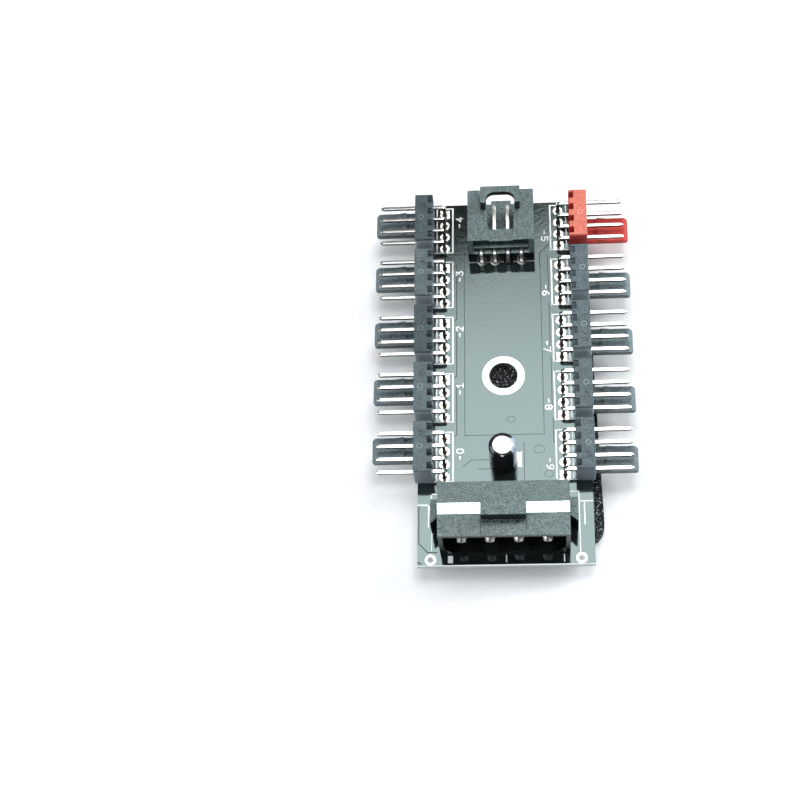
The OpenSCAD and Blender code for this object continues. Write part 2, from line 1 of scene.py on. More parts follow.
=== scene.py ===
import json
import math

import bmesh
import bpy
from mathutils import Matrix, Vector, noise

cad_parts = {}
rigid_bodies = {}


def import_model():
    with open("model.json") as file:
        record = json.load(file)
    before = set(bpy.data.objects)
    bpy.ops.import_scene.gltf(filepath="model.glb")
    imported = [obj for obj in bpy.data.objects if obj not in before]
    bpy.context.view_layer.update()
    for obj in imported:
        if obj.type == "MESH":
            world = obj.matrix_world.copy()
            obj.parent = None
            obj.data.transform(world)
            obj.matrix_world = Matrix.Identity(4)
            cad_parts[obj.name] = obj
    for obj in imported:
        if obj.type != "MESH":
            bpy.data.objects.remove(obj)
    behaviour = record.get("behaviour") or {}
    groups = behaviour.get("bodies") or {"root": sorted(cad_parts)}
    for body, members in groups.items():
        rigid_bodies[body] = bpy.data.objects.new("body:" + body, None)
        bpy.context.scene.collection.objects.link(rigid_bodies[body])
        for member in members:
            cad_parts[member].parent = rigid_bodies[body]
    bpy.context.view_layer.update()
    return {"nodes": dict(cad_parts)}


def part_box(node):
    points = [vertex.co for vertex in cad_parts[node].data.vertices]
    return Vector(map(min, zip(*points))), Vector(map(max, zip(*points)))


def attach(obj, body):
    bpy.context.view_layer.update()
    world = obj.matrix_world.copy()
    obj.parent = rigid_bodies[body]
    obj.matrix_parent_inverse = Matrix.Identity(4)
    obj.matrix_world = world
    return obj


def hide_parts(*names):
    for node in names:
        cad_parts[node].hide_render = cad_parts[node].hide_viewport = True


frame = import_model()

MM = 0.001
NODES = frame["nodes"]


def box_mm(node):
    """The low and the high corner of a node's box, in mm"""
    return [[c / MM for c in p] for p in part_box(node)]


def middle_y(node):
    """The middle of a node's box from front to back, in mm"""
    low, high = box_mm(node)
    return (low[1] + high[1]) / 2


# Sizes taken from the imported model, in mm
BOARD_LOW, BOARD_HIGH = box_mm("board")
FOAM_LOW, FOAM_HIGH = box_mm("foam_pad")
CAP_LOW, CAP_HIGH = box_mm("capacitor_sleeve")
SHELL_FRONT = box_mm("power_shell")[0][1]
PORT_Y = [middle_y("fan_pins_%d" % n) for n in range(10)]
PORT_PITCH = abs(PORT_Y[1] - PORT_Y[0])
CONTROL_Y = middle_y("solder_control")

# The board, in mm: mounting hole, the two corner holes, and the skins over its cut faces
MOUNT_R = 2.7
CORNER_X, CORNER_Y, CORNER_R = 13.49, -36.08, 0.56
CUT_IN = 0.02
SKIN, HOLE_SKIN = 0.04, 0.02
# Between these heights the darker lower part of the edge turns into the paler upper part
DARK_EDGE_FROM, DARK_EDGE_TO = -0.75, -0.55

# The ports, in mm: pins, solder holes, the round mould mark on the wall with its painted highlight, and
# the wall itself
PIN_PITCH = 2.54
PAD_X, HOLE_R = 10.98, 0.5
MARK_X, MARK_FOOT = 15.18, 5.9
MARK_INNER, MARK_OUTER = 0.4, 0.54
# Below this height the ports take the painted light and shade tones of their lower parts
TOP_FROM = 5.6
WALL_OUTER = 16.6
# End faces behind this place lie between two neighbours and take the full painted light; the two free
# ones in front take a little
FREE_END = -20.0

# The power connector, in mm: the polished slope between its roofs, the height below which it is painted
# dark as shade, and the painted shade of the seam of its rolled pins
SLOPE_FRONT, SLOPE_BACK = SHELL_FRONT + 4.12, SHELL_FRONT + 5.78
SLOPE_LOW, SLOPE_HIGH = 9.72, 11.0
GRAINED_UNSHADED_FROM = 5.0
POWER_X, POWER_PITCH = -0.1, 5.08
SEAM_HALF, SEAM_FOOT, NOSE_LENGTH = 0.11, 4.45, 2.2

# The control header, in mm: its dark pad, the top of its pins' dark legs, and where its socket begins
DARK_PAD_X, DARK_PAD_R = 1.27, 1.0
LEG_TOP = 2.6
SOCKET_Y = 24.0
# How steeply its solder falls away from each pin, in metres over square metres
DOME = -230.0

# The capacitor: middle and half width of the stripe in radians, and the wrinkles under its top in mm
STRIPE_AT, STRIPE_HALF = -0.02, 0.68
WRINKLES_FROM, WRINKLES_TO = 2.0, 0.2

# Print, bare gaps and steps in the mask, in mm: how high each stands
PRINT_T, GAP_T, STEP_T = 0.02, 0.012, 0.008

# The printed frame round each port, in mm from the port's middle
FRAME_OUTER, FRAME_INNER, FRAME_END = 9.45, 12.5, 13.1
FRAME_FAR, FRAME_NEAR = 5.14, 4.68
FRAME_LINE, FRAME_FINE = 0.3, 0.21

# The plain numbers, in mm: x, and y from the port's middle, and number 0 a little nearer the front
NUMBER_LEFT, NUMBER_RIGHT = (-8.15, 2.6), (8.3, -2.15)
NUMBER_0_NEARER = 1.3
DIGIT_W, DIGIT_H = 0.8, 1.2
DIGIT_LINE, DASH_LINE = 0.22, 0.24
DASH_FROM, DASH_TO = 1.05, 1.6
# Each stroke's legs get this much thinner, one after the other
LEG_STEP = 0.001

# Strokes of the digits, in mm, each digit standing on its baseline
STROKES = {
    0: [[(0, 0.3), (0, 0.9), (0.2, 1.2), (0.6, 1.2), (0.8, 0.9), (0.8, 0.3), (0.6, 0), (0.2, 0),
         (0, 0.3)]],
    1: [[(0.15, 0.95), (0.45, 1.2), (0.45, 0)], [(0.15, 0), (0.75, 0)]],
    2: [[(0, 0.95), (0.2, 1.2), (0.6, 1.2), (0.8, 0.95), (0.8, 0.75), (0, 0), (0.8, 0)]],
    3: [[(0, 1.2), (0.8, 1.2), (0.4, 0.7), (0.65, 0.7), (0.8, 0.5), (0.8, 0.25), (0.6, 0), (0.2, 0),
         (0, 0.2)]],
    4: [[(0.6, 0), (0.6, 1.2), (0, 0.4), (0.85, 0.4)]],
    5: [[(0.75, 1.2), (0.05, 1.2), (0.05, 0.7), (0.6, 0.7), (0.8, 0.5), (0.8, 0.2), (0.6, 0), (0.2, 0),
         (0, 0.2)]],
    6: [[(0.7, 1.2), (0.3, 1.1), (0, 0.6), (0, 0.2), (0.2, 0), (0.6, 0), (0.8, 0.2), (0.8, 0.45),
         (0.6, 0.65), (0.2, 0.65), (0, 0.45)]],
    7: [[(0, 1.2), (0.8, 1.2), (0.3, 0)]],
    8: [[(0.2, 0.65), (0, 0.85), (0, 1.0), (0.2, 1.2), (0.6, 1.2), (0.8, 1.0), (0.8, 0.85), (0.6, 0.65),
         (0.2, 0.65), (0, 0.45), (0, 0.2), (0.2, 0), (0.6, 0), (0.8, 0.2), (0.8, 0.45), (0.6, 0.65)]],
    9: [[(0.1, 0), (0.5, 0.1), (0.8, 0.6), (0.8, 1.0), (0.6, 1.2), (0.2, 1.2), (0, 1.0), (0, 0.75),
         (0.2, 0.55), (0.6, 0.55), (0.8, 0.75)]],
}

# Printed lines, in mm: the points of each and its width
HEADER_LINES = [([(-6.4, 24.2), (6.4, 24.2)], 0.09)]
POWER_LINES = [
    ([(0.1, -35.4), (0.1, -36.6)], 0.2),
    ([(10.4, -35.4), (10.4, -36.6)], 0.2),
    ([(-13.31, -30.9), (-13.3, -34.35)], 0.14),
    ([(-12.37, -23.48), (-13.41, -23.5), (-13.4, -24.18)], 0.22),
    ([(13.3, -23.6), (13.3, -35.0)], 0.16),
    ([(11.9, -23.4), (13.3, -23.4)], 0.16),
]
CORNER_LINES = [
    ([(-15.75, -25.57), (-13.82, -25.61), (-13.88, -29.84)], 0.22),
    ([(13.3, -25.3), (15.7, -25.3)], 0.16),
    ([(14.25, -25.6), (14.25, -29.7)], 0.2),
]
# Printed patches, in mm: two opposite corners of each
MOUTH_PATCH = ((-10.36, -36.7), (-9.46, -35.35))
CAPACITOR_PATCH = ((2.32, -18.5), (3.2, -15.5))

# Gaps between the copper areas, in mm: x, far end and near end of each, and the turn at its near end
GAPS_LEFT = ((-8.75, 24.1, 12.0), (-8.75, 9.6, 0.1), (-8.75, -1.9, -11.9))
GAPS_RIGHT = ((8.81, 25.2, 17.0), (8.85, 15.0, 5.3), (8.95, 3.5, -6.9), (9.05, -8.7, -13.6))
TURN_LEFT, TURN_RIGHT = (-0.5, -0.25), (0.6, -0.1)
GAP_LEFT_W, GAP_RIGHT_W = 0.13, 0.11
SLANTED_GAPS = [
    ([(9.32, 28.02), (7.23, 25.89), (7.23, 23.0)], 0.14),
    ([(-15.67, -25.7), (-15.62, -32.9), (-14.02, -34.66), (-12.33, -34.69)], 0.16),
    ([(-15.66, -36.5), (-15.3, -36.78)], 0.24),
]

# Steps in the mask over the edges of the copper, in mm: lines, and rings by centre and radius
STEP_LINES = [
    [(-7.25, 30.0), (-7.25, -12.0), (7.35, -12.0), (7.3, 23.0)],
    [(-7.6, -18.2), (-6.1, -16.9), (-2.8, -16.9)],
    [(-4.9, -18.7), (-2.6, -18.7)],
    [(3.6, -13.6), (3.6, -21.0)],
]
STEP_RINGS = ((1.3, -8.9, 0.75), (6.35, -15.0, 1.0), (8.1, -19.9, 0.8))
STEP_LINE_W, STEP_RING_W = 0.12, 0.08
RING_FLATTENED, RING_SIDES = 0.8, 14

# The foam's cut edge, in mm: mesh size, the skins left flat, and the lumps and how far they reach
FOAM_VOXEL = 0.28
FOAM_SKIN = 0.05
FOAM_SUNK = 0.05
LUMP = 0.07
LUMPS_BROAD, LUMPS_FINE = 1.9, 4.3
LUMPS_APART = Vector((7, 1, 3))

# Softened edges of the moulded and cut pieces: widths in mm and the angle from which they are made
WELD = 0.002
PORT_BEVEL, PIN_BEVEL, SHROUD_BEVEL, SHELL_BEVEL = 0.05, 0.05, 0.08, 0.1
BEVEL_ANGLE, BEVEL_SEGMENTS = 35, 2

# How deep the relief of each surface goes, in mm
GRAIN_DEEP, DRAWN_DEEP, MASK_DEEP = 0.07, 0.004, 0.018
SOLDER_DEEP, CELLS_DEEP, PAINT_DEEP = 0.01, 0.12, 0.005

# The floor and the softbox over it, in metres
FLOOR_HALF = 0.55
FLOOR_Z = FOAM_LOW[2] * MM - 0.00005
SOFTBOX_X, SOFTBOX_Y, SOFTBOX_Z = (-0.19, 0.18), (0.05, 0.36), 0.5
SOFTBOX_STRENGTH = 6.25
# The softbox gets dimmer towards its back, by these levels
FADE_Y = (0.17, 0.37)
FADE_LEVELS = ((0.0, 1.0), (0.35, 0.9), (0.55, 0.68), (0.66, 0.55), (1.0, 0.5))
# Its far left corner is cut off along a slanted line, its left is dimmer and its right brighter
CORNER_SLANT, CORNER_AT, CORNER_LEVEL = (-0.47, 0.849), (0.2645, 0.2765), 0.015
LEFT_X, LEFT_Y, LEFT_LEVEL = (-0.056, -0.048), (0.165, 0.185), 0.35
RIGHT_X, RIGHT_LEVEL = (0.045, 0.08), 1.35
# The lamps: name, place, aim, width, depth, watts and colour
WHITE, COOL = (1, 1, 1), (0.92, 0.97, 1.0)
LAMPS = (
    ("slope_strip", (-0.015, -0.511, 0.417), (0, -0.03, 0.01), 0.11, 0.06, 0.75, WHITE),
    ("front_wall", (0, -0.9, 0.2), (0, 0, 0), 1.0, 0.3, 3.0, COOL),
    ("left_box", (-0.55, -0.05, 0.35), (0, 0, 0), 0.5, 0.5, 2.9, COOL),
    ("right_box", (0.52, 0.3, 0.33), (0, 0, 0), 0.4, 0.4, 4.6, COOL),
)
# The camera: place in metres, turn in degrees and lens in mm
CAMERA_AT = (0.007053, -0.136003, 0.291348)
CAMERA_TURN = (24.267, 4.868, 0.693)
CAMERA_LENS, CAMERA_SENSOR = 77.26, 36.0

# A face looks along an axis where its normal has more than this of it
FACING = 0.6
# The cool tint of the dark pieces' highlights, and the plain tin of the pins with its roughness
TEAL = (0.78, 1.0, 1.0, 1)
TIN, TIN_ROUGH = (0.9, 0.9, 0.88, 1), 0.14


# Materials
class Mat:
    """A shader and its node tree, with short names for the nodes that lead into it."""

    def __init__(self, name, rough=0.4, metal=0.0, color=(0.5, 0.5, 0.5, 1), spec=None, tint=None):
        self.m = bpy.data.materials.new(name)
        self.m.use_nodes = True
        self.t = self.m.node_tree
        self.t.nodes.clear()
        self.out = self.node("ShaderNodeOutputMaterial")
        self.b = self.node("ShaderNodeBsdfPrincipled")
        self.link(self.b.outputs["BSDF"], self.out.inputs["Surface"])
        self.give("Base Color", color)
        self.give("Roughness", rough)
        self.give("Metallic", metal)
        if spec is not None:
            self.give("Specular IOR Level", spec)
        if tint is not None:
            self.give("Specular Tint", tint)
        self.co = self.node("ShaderNodeTexCoord").outputs["Object"]

    def node(self, kind, **values):
        n = self.t.nodes.new(kind)
        for k, v in values.items():
            setattr(n, k, v)
        return n

    def link(self, a, b):
        self.t.links.new(a, b)

    def give(self, socket, value):
        """Sets a plain value on the shader"""
        self.b.inputs[socket].default_value = value

    def feed(self, socket, value):
        """Leads a node's value into the shader"""
        self.link(value, self.b.inputs[socket])

    def scaled(self, scale):
        """The coordinates, drawn out along each axis"""
        n = self.node("ShaderNodeMapping")
        n.inputs["Scale"].default_value = scale
        self.link(self.co, n.inputs["Vector"])
        return n.outputs["Vector"]

    def noise(self, scale, detail=2.0, rough=0.5, vector=None):
        """An irregular pattern with that many lumps in a metre"""
        n = self.node("ShaderNodeTexNoise")
        n.inputs["Scale"].default_value = scale
        n.inputs["Detail"].default_value = detail
        n.inputs["Roughness"].default_value = rough
        self.link(vector if vector is not None else self.co, n.inputs["Vector"])
        return n.outputs["Fac"]

    def ramp(self, fac, stops):
        """Colours that a value runs through, each with its place from 0 to 1"""
        n = self.node("ShaderNodeValToRGB")
        e = n.color_ramp.elements
        while len(e) < len(stops):
            e.new(0.5)
        for i, (p, c) in enumerate(stops):
            e[i].position = p
            e[i].color = c if len(c) == 4 else tuple(c) + (1,)
        self.link(fac, n.inputs["Fac"])
        return n.outputs["Color"]

    def span(self, fac, low, high, to_low=0.0, to_high=1.0):
        """The value stretched from one range to another, and held at its ends"""
        n = self.node("ShaderNodeMapRange")
        for k, v in (("From Min", low), ("From Max", high), ("To Min", to_low), ("To Max", to_high)):
            n.inputs[k].default_value = v
        self.link(fac, n.inputs["Value"])
        return n.outputs["Result"]

    def math(self, op, a, b=None):
        n = self.node("ShaderNodeMath", operation=op)
        for i, v in enumerate((a, b)):
            if v is None:
                continue
            if isinstance(v, (int, float)):
                n.inputs[i].default_value = v
            else:
                self.link(v, n.inputs[i])
        return n.outputs["Value"]

    def plus(self, a, b):
        """The sum of two values"""
        return self.math("ADD", a, b)

    def times(self, a, b):
        """The product of two values, which is also 1 only where both are"""
        return self.math("MULTIPLY", a, b)

    def either(self, a, b):
        """The larger of two values, which is 1 where one of them is"""
        return self.math("MAXIMUM", a, b)

    def unsigned(self, value):
        """A value without its sign"""
        return self.math("ABSOLUTE", value)

    def minus(self, value, place):
        """A value, in metres, from which a place in mm is taken"""
        return self.math("SUBTRACT", value, place * MM)

    def above(self, value, place):
        """1 where the value, in metres, is above a place in mm"""
        return self.math("GREATER_THAN", value, place * MM)

    def below(self, value, place):
        """1 where the value, in metres, is below a place in mm"""
        return self.math("LESS_THAN", value, place * MM)

    def between(self, value, low, high):
        """1 where the value, in metres, lies between two places in mm"""
        return self.times(self.above(value, low), self.below(value, high))

    def mix(self, fac, a, b):
        """Colour a where fac is 0 and colour b where it is 1"""
        n = self.node("ShaderNodeMix", data_type="RGBA")
        for k, v in ((0, fac), (6, a), (7, b)):
            if isinstance(v, (int, float, tuple, list)):
                n.inputs[k].default_value = v
            else:
                self.link(v, n.inputs[k])
        return n.outputs[2]

    def mix_value(self, fac, a, b):
        """Value a where fac is 0 and value b where it is 1"""
        return self.plus(self.times(a, self.math("SUBTRACT", 1.0, fac)), self.times(fac, b))

    def length(self, dx, dy):
        """How far a point lies away, from its two distances along and across"""
        return self.math("SQRT", self.plus(self.times(dx, dx), self.times(dy, dy)))

    def near(self, x, y, radius):
        """1 within a radius of a place on the board, all in mm"""
        return self.below(self.length(self.minus(self.axis(0), x), self.minus(self.axis(1), y)), radius)

    def axis(self, i):
        """A point's place along x, y or z, in metres"""
        n = self.node("ShaderNodeSeparateXYZ")
        self.link(self.co, n.inputs["Vector"])
        return n.outputs[i]

    def normal(self, i):
        """How far a face looks along x, y or z"""
        n = self.node("ShaderNodeSeparateXYZ")
        self.link(self.node("ShaderNodeTexCoord").outputs["Normal"], n.inputs["Vector"])
        return n.outputs[i]

    def facing_up(self):
        """1 on the faces that look up"""
        return self.math("GREATER_THAN", self.normal(2), FACING)

    def bump(self, height, distance, strength=1.0, after=None):
        """Relief in the surface, over another relief where one is given"""
        n = self.node("ShaderNodeBump")
        n.inputs["Strength"].default_value = strength
        n.inputs["Distance"].default_value = distance
        self.link(height, n.inputs["Height"])
        if after is not None:
            self.link(after, n.inputs["Normal"])
        self.feed("Normal", n.outputs["Normal"])
        return n.outputs["Normal"]


def from_port_middle(m):
    """How far along the board a point lies from the middle of its own port"""
    steps = m.math("DIVIDE", m.minus(m.axis(1), PORT_Y[5]), PORT_PITCH * MM)
    return m.times(m.math("SUBTRACT", steps, m.math("ROUND", steps)), PORT_PITCH * MM)


def from_pin(m, value, pitch=PIN_PITCH):
    """How far a value lies from the nearest of four pins, whose row stands evenly about its middle"""
    steps = m.math("DIVIDE", value, pitch * MM)
    middle = m.plus(m.math("FLOOR", steps), 0.5)
    return m.times(m.math("SUBTRACT", steps, middle), pitch * MM)


class Plastic(Mat):
    """Satin moulded plastic with a spark-eroded grain."""

    def __init__(self, name, dark, light, rough, grain=4200.0, stops=(0.38, 0.62), spec=0.5, tint=TEAL,
                 sheen=0.0, coat=0.0):
        super().__init__(name, spec=spec, tint=tint)
        self.give("Sheen Weight", sheen)
        self.give("Sheen Roughness", 0.4)
        self.give("Sheen Tint", (0.7, 0.85, 1.0, 1))
        self.give("Coat Weight", coat)
        self.give("Coat Roughness", 0.4)
        self.stops = stops
        self.fine = self.noise(grain, 3.0, 0.7)
        patch = self.noise(900.0, 2.0, 0.5)
        self.speck = self.plus(self.times(self.fine, 0.85), self.times(patch, 0.15))
        self.color = self.grained(dark, light)
        self.rough = self.span(self.fine, 0.3, 0.7, rough - 0.1, rough + 0.1)

    def grained(self, dark, light):
        """The grain's own play between two tones"""
        return self.ramp(self.speck, [(self.stops[0], dark), (self.stops[1], light)])

    def finish(self, relief):
        self.feed("Base Color", self.color)
        self.feed("Roughness", self.rough)
        self.bump(relief, GRAIN_DEEP * MM, 0.8)
        return self.m


def mould_mark_highlight(m):
    """1 on the rim of the round mark that the ejector left on each port's wall, where a highlight is
    painted
    """
    aside = m.minus(m.unsigned(m.axis(0)), MARK_X)
    rim = m.between(m.length(aside, from_port_middle(m)), MARK_INNER, MARK_OUTER)
    return m.times(rim, m.above(m.axis(2), MARK_FOOT))


def lit_end_face(m):
    """1 on the walls' end faces between neighbours, where light is painted on, and little on the two
    free ones in front
    """
    front = m.math("LESS_THAN", m.normal(1), -FACING)
    wall = m.below(m.unsigned(m.axis(0)), WALL_OUTER)
    inner = m.span(m.axis(1), FREE_END * MM, (FREE_END + 0.5) * MM, 0.28, 1.0)
    return m.times(m.times(front, wall), inner)


def port_plastic(name, dark, light, rough, mark_highlight, low, **look):
    """A port's plastic with a painted highlight on its mould mark. Under its top: the painted light and
    shade tones and roughness in low, and the end's painted light.
    """
    m = Plastic(name, dark, light, rough, **look)
    # Painted highlight: the rim of the mould mark takes a lighter colour
    top = m.mix(m.times(mould_mark_highlight(m), 0.6), m.color, mark_highlight)
    # Painted light and shade under the top: upward faces of the black ports lighter, their other faces
    # dark; the red port deeper and darker
    foot = m.grained(low["dark"], low["light"])
    if "end" in low:
        foot = m.mix(m.facing_up(), low["dark"] + (1,), foot)
        # Painted light: end faces between neighbours take the pale end tone
        foot = m.mix(lit_end_face(m), foot, low["end"])
    under = m.below(m.axis(2), TOP_FROM)
    m.color = m.mix(under, top, foot)
    m.rough = m.mix_value(under, m.rough, low["rough"])
    return m.finish(m.fine)


def connector_plastic(name, dark, light, rough, grained_unshaded_from=0.0, slope=False, **look):
    """Plastic that is grained only on its upward faces above a height, with painted shade on all its
    other faces, and polished on a slope.
    """
    m = Plastic(name, dark, light, rough, stops=(0.42, 0.6), **look)
    grained = m.times(m.facing_up(), m.above(m.axis(2), grained_unshaded_from))
    # Painted shade: faces that don't look up, or lie below the height, take a quarter of the dark tone
    m.color = m.mix(grained, tuple(c * 0.25 for c in dark) + (1,), m.color)
    m.rough = m.mix_value(grained, 0.25, m.rough)
    if not slope:
        return m.finish(m.fine)
    band = m.times(m.between(m.axis(1), SLOPE_FRONT, SLOPE_BACK),
                   m.between(m.axis(2), SLOPE_LOW, SLOPE_HIGH))
    m.rough = m.mix_value(band, m.rough, 0.07)
    return m.finish(m.times(m.fine, m.span(band, 0.0, 1.0, 1.0, 0.0)))


class Metal(Mat):
    """Bright metal with drawing marks and slight waviness."""

    def __init__(self, name, color, rough, grain=2500.0):
        super().__init__(name, metal=1.0, color=color)
        wave = self.noise(grain, 2.0, 0.5)
        broad = self.noise(600.0, 2.0, 0.5)
        self.color = self.ramp(broad, [(0.3, tuple(c * 0.86 for c in color[:3])), (0.7, color)])
        self.rough = self.span(wave, 0.25, 0.75, rough - 0.02, rough + 0.03)
        self.bump(wave, DRAWN_DEEP * MM, 0.15)

    def finish(self):
        self.feed("Base Color", self.color)
        self.feed("Roughness", self.rough)
        return self.m


def port_pin_tin():
    """The port pins are cut from tinned strip: their sheared sides are rougher, and painted dark as
    shade.
    """
    m = Metal("port_pin_tin", TIN, TIN_ROUGH)
    shaded_side = m.math("GREATER_THAN", m.unsigned(m.normal(1)), FACING)
    # Painted shade on the sides that look along y
    m.color = m.mix(shaded_side, m.color, (0.16, 0.15, 0.13, 1))
    m.rough = m.plus(m.rough, m.times(shaded_side, 0.2))
    return m.finish()


def control_pin_tin():
    """The control pins are more matt inside the socket, and their legs are dark brown."""
    m = Metal("control_pin_tin", (0.97, 0.96, 0.9, 1), TIN_ROUGH)
    leg = m.times(m.below(m.axis(2), LEG_TOP), m.below(m.axis(1), SOCKET_Y))
    m.color = m.mix(leg, m.color, (0.09, 0.085, 0.07, 1))
    m.rough = m.plus(m.rough, m.times(m.above(m.axis(1), SOCKET_Y), 0.22))
    return m.finish()


def power_pin_tin():
    """A black line painted down the nose of each rolled power pin stands for the shade in its seam."""
    m = Metal("power_pin_tin", (1.0, 1.0, 0.98, 1), 0.4)
    aside = m.unsigned(from_pin(m, m.minus(m.axis(0), POWER_X), POWER_PITCH))
    nose = m.times(m.below(m.axis(1), SHELL_FRONT + NOSE_LENGTH), m.above(m.axis(2), SEAM_FOOT))
    # Painted shade: a black line down the seam of each nose
    m.color = m.mix(m.times(m.below(aside, SEAM_HALF), nose), m.color, (0.01, 0.01, 0.01, 1))
    return m.finish()


def board_material():
    """Glossy black solder mask, pale laminate at the cut edges, darker towards the bottom, plated wall
    in the mounting hole.
    """
    m = Mat("board_mask", rough=0.07, color=(0.008, 0.011, 0.011, 1), spec=1.0, tint=TEAL)
    x, y, z = m.axis(0), m.axis(1), m.axis(2)
    foot = BOARD_LOW[2] + SKIN
    side = m.either(m.above(m.unsigned(x), BOARD_HIGH[0] - CUT_IN),
                    m.above(m.unsigned(y), BOARD_HIGH[1] - CUT_IN))
    edge = m.times(side, m.between(z, foot, -SKIN))
    wall = m.times(m.near(0, 0, MOUNT_R), m.between(z, foot, -HOLE_SKIN))
    corners = m.either(m.near(-CORNER_X, CORNER_Y, CORNER_R), m.near(CORNER_X, CORNER_Y, CORNER_R))
    holes = m.times(corners, m.between(z, foot, SKIN))

    fibre = m.noise(700.0, 4.0, 0.6, vector=m.scaled((1.0, 1.0, 9.0)))
    smear = m.noise(330.0, 5.0, 0.62)
    mask = m.ramp(smear, [(0.35, (0.006, 0.009, 0.009)), (0.75, (0.014, 0.018, 0.018))])
    pale = m.ramp(fibre, [(0.3, (0.7, 0.72, 0.74)), (0.7, (0.9, 0.92, 0.94))])
    dark_edge = m.ramp(fibre, [(0.3, (0.22, 0.24, 0.25)), (0.7, (0.4, 0.43, 0.44))])
    laminate = m.mix(m.span(z, DARK_EDGE_FROM * MM, DARK_EDGE_TO * MM, 1.0, 0.0), pale, dark_edge)
    plated = m.ramp(fibre, [(0.3, (0.12, 0.105, 0.08)), (0.7, (0.36, 0.35, 0.31))])
    color = m.mix(wall, m.mix(edge, mask, laminate), plated)
    m.feed("Base Color", m.mix(holes, color, (0.9, 0.9, 0.92, 1)))
    m.feed("Metallic", m.times(wall, 0.8))

    dust = m.noise(5200.0, 2.0, 0.5)
    gloss = m.plus(m.span(smear, 0.35, 0.8, 0.045, 0.12), m.span(dust, 0.62, 0.8, 0.0, 0.12))
    dull = m.either(m.times(edge, 0.6), m.either(m.times(wall, 0.35), m.times(holes, 0.5)))
    m.feed("Roughness", m.either(gloss, dull))
    weave = m.noise(1500.0, 3.0, 0.6)
    m.bump(m.plus(m.times(weave, 0.6), m.times(dust, 0.05)), MASK_DEEP * MM, 0.8)
    return m.m


class Solder(Mat):
    """Bright solder, browned by flux where it is deep."""

    def __init__(self, name, rough):
        super().__init__(name, metal=1.0, rough=rough)
        self.spot = self.noise(2600.0, 3.0, 0.6)
        self.deep = self.span(self.ragged(self.axis(2), 0.05), 0.0, 0.06 * MM, 1.0, 0.0)
        self.rough = self.span(self.spot, 0.3, 0.75, rough - 0.05, rough + 0.1)

    def ragged(self, value, by):
        """A value, in metres, that wanders by up to the given mm either way"""
        return self.plus(value, self.span(self.spot, 0.3, 0.7, -by * MM, by * MM))

    def finish(self, dull=0.0, under=None):
        bright = self.ramp(self.spot, [(0.3, (0.8, 0.8, 0.78)), (0.7, (0.95, 0.95, 0.93))])
        brown = self.ramp(self.spot, [(0.3, (0.05, 0.038, 0.02)), (0.55, (0.2, 0.16, 0.08)),
                                      (0.75, (0.5, 0.45, 0.3))])
        clean = self.mix(self.deep, bright, brown)
        self.feed("Base Color", self.mix(dull, clean, (0.03, 0.03, 0.027, 1)))
        self.feed("Roughness", self.plus(self.rough, self.times(dull, 0.3)))
        self.bump(self.spot, SOLDER_DEEP * MM, 0.6, after=under)
        return self.m


def port_solder():
    """The solder of the ports is browned inside each hole."""
    m = Solder("port_joint_solder", 0.22)
    aside = m.minus(m.unsigned(m.axis(0)), PAD_X)
    far = m.ragged(m.length(aside, from_pin(m, from_port_middle(m))), 0.06)
    m.deep = m.either(m.deep, m.below(far, HOLE_R))
    return m.finish()


def control_solder():
    """The pads of the control header are filled to a round top, and one of them is dark and rough."""
    m = Solder("control_joint_solder", 0.26)
    far = m.ragged(m.length(from_pin(m, m.axis(0)), m.minus(m.axis(1), CONTROL_Y)), 0.06)
    dome = m.bump(m.times(m.times(far, far), DOME), 1.0)
    return m.finish(dull=m.near(DARK_PAD_X, CONTROL_Y, DARK_PAD_R), under=dome)


def sleeve_material():
    """Black shrink sleeve, wrinkled over the shoulder, with the pale polarity stripe down one side."""
    m = Mat("cap_sleeve", rough=0.16, color=(0.01, 0.01, 0.012, 1), spec=0.6)
    dx = m.minus(m.axis(0), (CAP_LOW[0] + CAP_HIGH[0]) / 2)
    dy = m.minus(m.axis(1), (CAP_LOW[1] + CAP_HIGH[1]) / 2)
    aside = m.unsigned(m.math("SUBTRACT", m.math("ARCTAN2", dy, dx), STRIPE_AT))
    spot = m.noise(3000.0, 2.0, 0.5)
    ink = m.ramp(spot, [(0.3, (0.3, 0.35, 0.45)), (0.7, (0.44, 0.5, 0.6))])
    black = m.ramp(spot, [(0.3, (0.006, 0.006, 0.008)), (0.7, (0.014, 0.014, 0.017))])
    m.feed("Base Color", m.mix(m.math("LESS_THAN", aside, STRIPE_HALF), black, ink))
    m.feed("Roughness", m.span(spot, 0.3, 0.7, 0.1, 0.2))
    shoulder = m.span(m.axis(2), (CAP_HIGH[2] - WRINKLES_FROM) * MM, (CAP_HIGH[2] - WRINKLES_TO) * MM,
                      0.01 * MM, 0.18 * MM)
    m.bump(m.times(m.noise(800.0, 2.0, 0.5), shoulder), 1.0, 0.9)
    return m.m


def foam_material():
    """Black open foam: the bright flecks in its colour are painted glints of the thin walls of its cut
    cells.
    """
    m = Mat("foam_felt", rough=0.7, spec=0.15)
    cells_and_glints = m.noise(3000.0, 3.0, 0.75)
    m.feed("Base Color", m.ramp(cells_and_glints, [
        (0.5, (0.002, 0.002, 0.003)), (0.56, (0.02, 0.023, 0.025)), (0.62, (0.22, 0.25, 0.26)),
        (0.68, (0.7, 0.73, 0.75))]))
    m.bump(cells_and_glints, CELLS_DEEP * MM, 1.0)
    return m.m


def paint_material(name, low, high, rough, spec=0.4):
    """An even coat of paint, ink or rubber with a faint grain."""
    m = Mat(name, rough=rough, spec=spec)
    spot = m.noise(4200.0, 3.0, 0.6)
    m.feed("Base Color", m.ramp(spot, [(0.3, low), (0.7, high)]))
    m.feed("Roughness", m.span(spot, 0.3, 0.7, rough - 0.08, rough + 0.08))
    m.bump(spot, PAINT_DEEP * MM, 0.5)
    return m.m


